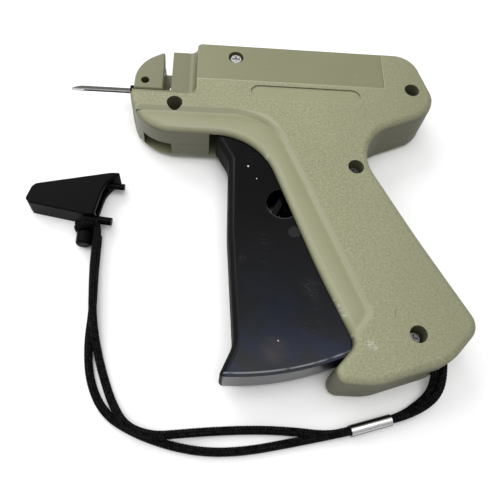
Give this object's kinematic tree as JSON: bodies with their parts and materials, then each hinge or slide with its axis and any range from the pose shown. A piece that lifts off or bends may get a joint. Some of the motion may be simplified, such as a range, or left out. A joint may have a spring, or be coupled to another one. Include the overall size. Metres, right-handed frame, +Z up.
{
  "type": "garment tag attacher",
  "caption": "Pistol-grip tag attacher: two-part olive shell, black trigger, hollow steel needle, inner lever linkage, and a needle cap tied on with a braided strap.",
  "frame": {"origin": "middle of the tool's own box, on the surface it lies on, without the strap and cap", "axes": "+Z up from the right side the tool lies on, through its thickness; +X back along the barrel, away from the needle; +Y towards the barrel's top"},
  "size_m": [0.1696, 0.1691, 0.023],
  "materials": {
    "olive_shell": "fine grain with smooth panels",
    "black_gloss": "gloss",
    "black_plastic": "satin",
    "cap_plastic": "satin",
    "bright_steel": "polished",
    "zinc_steel": "zinc plated",
    "spring_steel": "drawn wire",
    "white_nylon": "moulded",
    "black_rubber": "matt",
    "black_braid": "fine braid"
  },
  "bodies": {
    "housing": {"left_housing": "olive_shell", "right_housing": "olive_shell", "nose_screw": "bright_steel", "top_screw": "bright_steel", "rear_screw": "bright_steel", "middle_screw": "bright_steel", "butt_screw": "bright_steel", "trigger_axle": "bright_steel", "strap_pin": "bright_steel", "needle": "bright_steel", "needle_base": "black_plastic", "knife_blade": "bright_steel", "rear_buffer": "black_rubber", "lever_spring": "spring_steel", "pawl_spring": "spring_steel", "strap_outer_strand": "black_braid", "strap_inner_strand": "black_braid", "strap_hitch": "black_braid", "ferrule": "bright_steel", "needle_cap": "cap_plastic"},
    "trigger": {"trigger": "black_gloss", "trigger_link_pin": "black_plastic"},
    "link": {"drive_link": "zinc_steel"},
    "lever": {"drive_lever": "zinc_steel", "lever_crank_pin": "bright_steel", "lever_drive_pin": "bright_steel"},
    "slide": {"slide_carrier": "white_nylon", "push_rod": "bright_steel"},
    "pawl": {"feed_pawl": "zinc_steel"},
    "lock": {"needle_lock_lever": "black_plastic"}
  },
  "joints": [
    {"name": "trigger_pivot", "type": "hinge", "parent": "housing", "child": "trigger", "pos_m": [-0.00866, 0.03535, 0.0115], "axis": [0, 0, 1], "range_deg": [0, 18], "stiffness_Nm_per_rad": 1.2},
    {"name": "lever_pivot", "type": "hinge", "parent": "housing", "child": "lever", "pos_m": [0.04004, 0.01295, 0.0115], "axis": [0, 0, 1], "range_deg": [0, 50], "deforming": ["lever_spring"]},
    {"name": "link_pivot", "type": "hinge", "parent": "trigger", "child": "link", "pos_m": [0.01454, -0.01545, 0.0115], "axis": [0, 0, 1], "range_deg": [-46.3, 0]},
    {"name": "slide_travel", "type": "slide", "parent": "housing", "child": "slide", "axis": [-1, 0, 0], "range_m": [0, 0.042]},
    {"name": "pawl_step", "type": "slide", "parent": "housing", "child": "pawl", "axis": [0, 1, 0], "range_m": [0, 0.003], "deforming": ["pawl_spring"]},
    {"name": "needle_lock", "type": "hinge", "parent": "housing", "child": "lock", "pos_m": [-0.04706, 0.05495, 0.0115], "axis": [0, 0, 1], "range_deg": [0, 90]}
  ],
  "couplings": [
    {"joint": "lever_pivot", "follows": "trigger_pivot", "ratio": 2.7778},
    {"joint": "link_pivot", "follows": "trigger_pivot", "ratio": -2.5722},
    {"joint": "slide_travel", "follows": "trigger_pivot", "m_per_rad": 0.13369},
    {"joint": "pawl_step", "follows": "trigger_pivot", "m_per_rad": 0.0095493}
  ]
}
